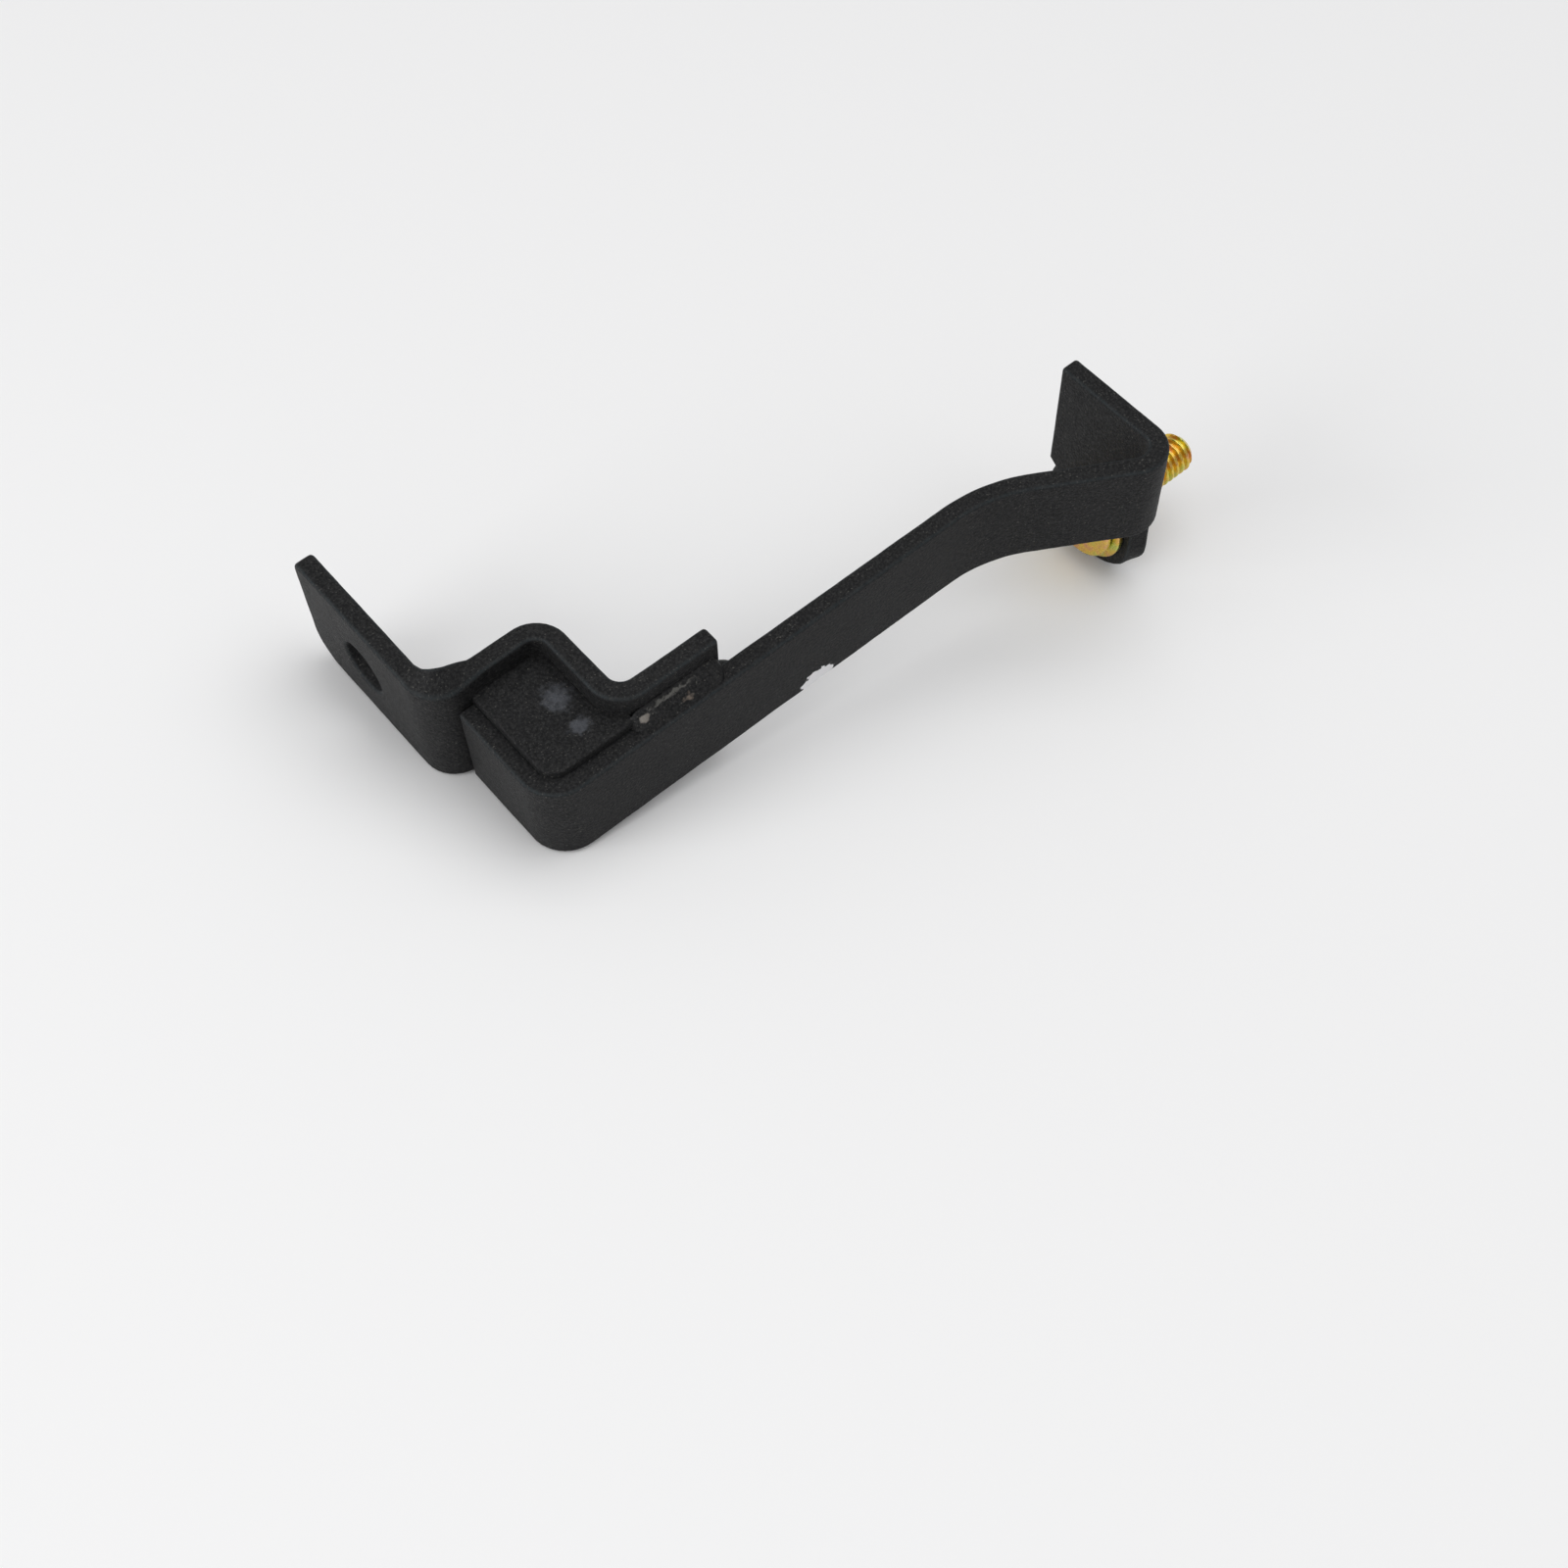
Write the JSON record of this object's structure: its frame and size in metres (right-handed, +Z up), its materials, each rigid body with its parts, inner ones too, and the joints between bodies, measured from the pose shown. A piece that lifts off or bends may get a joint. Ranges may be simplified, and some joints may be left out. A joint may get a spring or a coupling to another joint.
{
  "type": "shutter dog holdback",
  "caption": "Welded flat-bar holdback bracket: a bent arm with an end flange and a hanging lug that carries a screw, and a stepped strip ending in a drilled mounting tab.",
  "frame": {"origin": "on the table under the middle of the part's box, with the part lying on its leg bend, tab bend and lug as it rests by itself", "axes": "+X along the arm from the leg to the screw tip, +Y from the arm to the mounting tab, +Z up from the table; the bars lean about 11 degrees from Z because the lug hangs below the arm"},
  "size_m": [0.1606, 0.079, 0.0428],
  "materials": {
    "black_coat": "fine-textured black coating",
    "coated_weld": "black coating over rippled weld bead",
    "yellow_zinc": "yellow chromated zinc plate"
  },
  "bodies": {
    "bracket": {"arm": "black_coat", "mounting_strip": "black_coat", "gusset_plate": "black_coat", "lap_weld": "coated_weld", "strip_end_weld": "coated_weld", "leg_weld": "coated_weld", "plate_weld_arm": "coated_weld", "plate_weld_strip": "coated_weld", "weld_nut": "black_coat", "nut_tack_1": "coated_weld", "nut_tack_2": "coated_weld", "nut_tack_3": "coated_weld"},
    "washer_body": {"washer": "yellow_zinc"},
    "bolt_body": {"bolt": "yellow_zinc"}
  },
  "joints": [
    {"name": "bolt_travel", "type": "slide", "parent": "bracket", "child": "washer_body", "axis": [0.9828, -0.0036, 0.1846], "range_m": [-0.01764, 0]},
    {"name": "bolt_turn", "type": "hinge", "parent": "washer_body", "child": "bolt_body", "pos_m": [0.05372, -0.02324, 0.01097], "axis": [0.9828, -0.0036, 0.1846], "range_deg": [-4555, 0]}
  ],
  "couplings": [
    {"joint": "bolt_turn", "follows": "bolt_travel", "rad_per_m": 4452.7}
  ]
}
